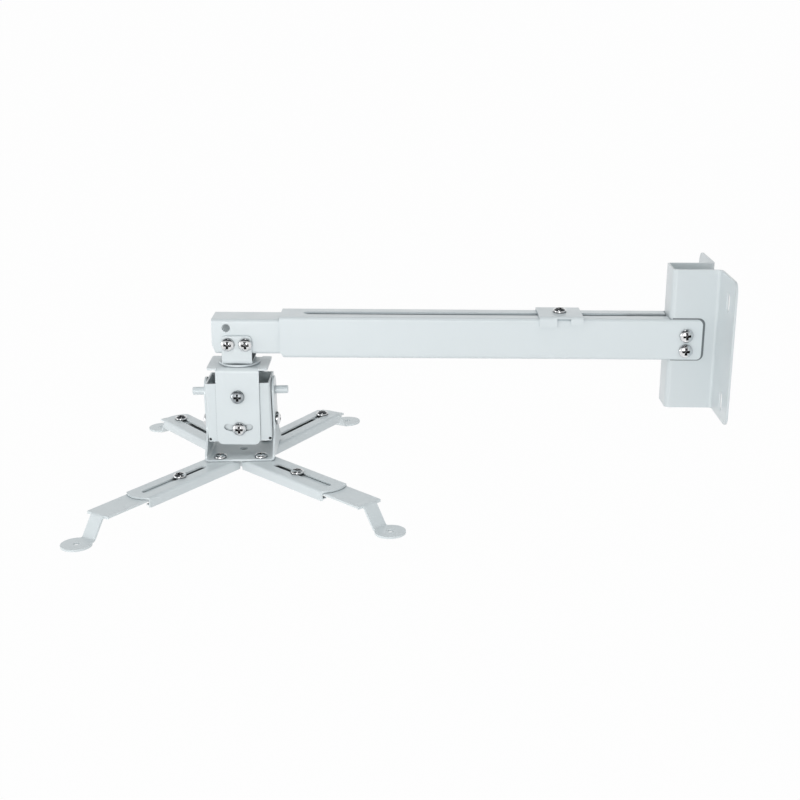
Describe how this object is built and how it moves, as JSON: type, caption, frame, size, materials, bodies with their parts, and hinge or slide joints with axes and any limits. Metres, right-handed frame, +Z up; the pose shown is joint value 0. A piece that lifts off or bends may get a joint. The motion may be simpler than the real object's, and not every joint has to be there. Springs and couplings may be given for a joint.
{
  "type": "projector wall mount",
  "caption": "Telescopic square-tube wall arm with a swivelling, tilting head and slotted swing arms with sliding feet that hold a projector.",
  "frame": {"origin": "the wall's face, on the tube's axis", "axes": "+Z up, +X into the wall, the arm reaches along -X, and the side in the picture is -Y"},
  "size_m": [0.6003, 0.3624, 0.2163],
  "materials": {
    "white_enamel": "gloss white powder coat",
    "chrome_plate": "bright plated",
    "zinc_plate": "zinc plated"
  },
  "bodies": {
    "fixed_arm": {"wall_bracket": "white_enamel", "outer_tube": "white_enamel", "wall_bolt_upper": "chrome_plate", "wall_bolt_lower": "chrome_plate", "wall_nut_upper": "zinc_plate", "wall_nut_lower": "zinc_plate"},
    "sliding_arm": {"inner_tube": "white_enamel", "clamp_saddle": "white_enamel", "clamp_bolt": "chrome_plate", "clamp_nut": "zinc_plate", "neck": "white_enamel", "neck_bolt_left": "chrome_plate", "neck_bolt_right": "chrome_plate", "neck_nut_left": "zinc_plate", "neck_nut_right": "zinc_plate", "swivel_washer": "white_enamel"},
    "swivel_yoke": {"upper_yoke": "white_enamel", "swivel_bolt": "chrome_plate", "swivel_nut": "zinc_plate"},
    "tilt_frame": {"tilt_box": "white_enamel", "pitch_axle": "white_enamel", "roll_pivot_front": "chrome_plate", "roll_pivot_back": "chrome_plate", "roll_pivot_nut_front": "zinc_plate", "roll_pivot_nut_back": "zinc_plate", "roll_lock_front": "chrome_plate", "roll_lock_back": "chrome_plate", "roll_lock_nut_front": "zinc_plate", "roll_lock_nut_back": "zinc_plate", "pitch_lock_left": "chrome_plate", "pitch_lock_right": "chrome_plate", "pitch_lock_nut_left": "zinc_plate", "pitch_lock_nut_right": "zinc_plate"},
    "cradle": {"lower_cradle": "white_enamel", "arm_bolt_front_left": "chrome_plate", "arm_bolt_front_right": "chrome_plate", "arm_bolt_back_right": "chrome_plate", "arm_bolt_back_left": "chrome_plate", "arm_nut_front_left": "zinc_plate", "arm_nut_front_right": "zinc_plate", "arm_nut_back_right": "zinc_plate", "arm_nut_back_left": "zinc_plate"},
    "front_left_arm": {"arm_front_left": "white_enamel"},
    "front_left_foot": {"foot_front_left": "white_enamel", "foot_bolt_front_left": "chrome_plate", "foot_nut_front_left": "zinc_plate"},
    "front_right_arm": {"arm_front_right": "white_enamel"},
    "front_right_foot": {"foot_front_right": "white_enamel", "foot_bolt_front_right": "chrome_plate", "foot_nut_front_right": "zinc_plate"},
    "back_right_arm": {"arm_back_right": "white_enamel"},
    "back_right_foot": {"foot_back_right": "white_enamel", "foot_bolt_back_right": "chrome_plate", "foot_nut_back_right": "zinc_plate"},
    "back_left_arm": {"arm_back_left": "white_enamel"},
    "back_left_foot": {"foot_back_left": "white_enamel", "foot_bolt_back_left": "chrome_plate", "foot_nut_back_left": "zinc_plate"}
  },
  "joints": [
    {"name": "extension", "type": "slide", "parent": "fixed_arm", "child": "sliding_arm", "axis": [-1, 0, 0], "range_m": [-0.025, 0.195]},
    {"name": "swivel", "type": "hinge", "parent": "sliding_arm", "child": "swivel_yoke", "pos_m": [-0.4616, 0, -0.03], "axis": [0, 0, 1], "range_deg": [-180, 180]},
    {"name": "roll_tilt", "type": "hinge", "parent": "swivel_yoke", "child": "tilt_frame", "pos_m": [-0.4616, 0, -0.0585], "axis": [0, 1, 0], "range_deg": [-13.5, 16.5]},
    {"name": "pitch_tilt", "type": "hinge", "parent": "tilt_frame", "child": "cradle", "pos_m": [-0.4616, 0, -0.0585], "axis": [0.9997, 0, 0.0262], "range_deg": [-15, 15]},
    {"name": "front_left_swing", "type": "hinge", "parent": "cradle", "child": "front_left_arm", "pos_m": [-0.47992, -0.026, -0.123], "axis": [-0.0262, 0, 0.9997], "range_deg": [-55, 34.5]},
    {"name": "front_left_reach", "type": "slide", "parent": "front_left_arm", "child": "front_left_foot", "axis": [-0.5719, -0.8202, -0.015], "range_m": [-0.031, 0.045]},
    {"name": "front_right_swing", "type": "hinge", "parent": "cradle", "child": "front_right_arm", "pos_m": [-0.43993, -0.026, -0.12195], "axis": [-0.0262, 0, 0.9997], "range_deg": [-43, 46.5]},
    {"name": "front_right_reach", "type": "slide", "parent": "front_right_arm", "child": "front_right_foot", "axis": [0.683, -0.7302, 0.0179], "range_m": [-0.031, 0.045]},
    {"name": "back_right_swing", "type": "hinge", "parent": "cradle", "child": "back_right_arm", "pos_m": [-0.43993, 0.026, -0.12195], "axis": [-0.0262, 0, 0.9997], "range_deg": [-59.5, 30]},
    {"name": "back_right_reach", "type": "slide", "parent": "back_right_arm", "child": "back_right_foot", "axis": [0.5044, 0.8634, 0.0132], "range_m": [-0.0755, 0]},
    {"name": "back_left_swing", "type": "hinge", "parent": "cradle", "child": "back_left_arm", "pos_m": [-0.47992, 0.026, -0.123], "axis": [-0.0262, 0, 0.9997], "range_deg": [-36.5, 53]},
    {"name": "back_left_reach", "type": "slide", "parent": "back_left_arm", "child": "back_left_foot", "axis": [-0.6016, 0.7986, -0.0158], "range_m": [-0.0755, 0]}
  ]
}
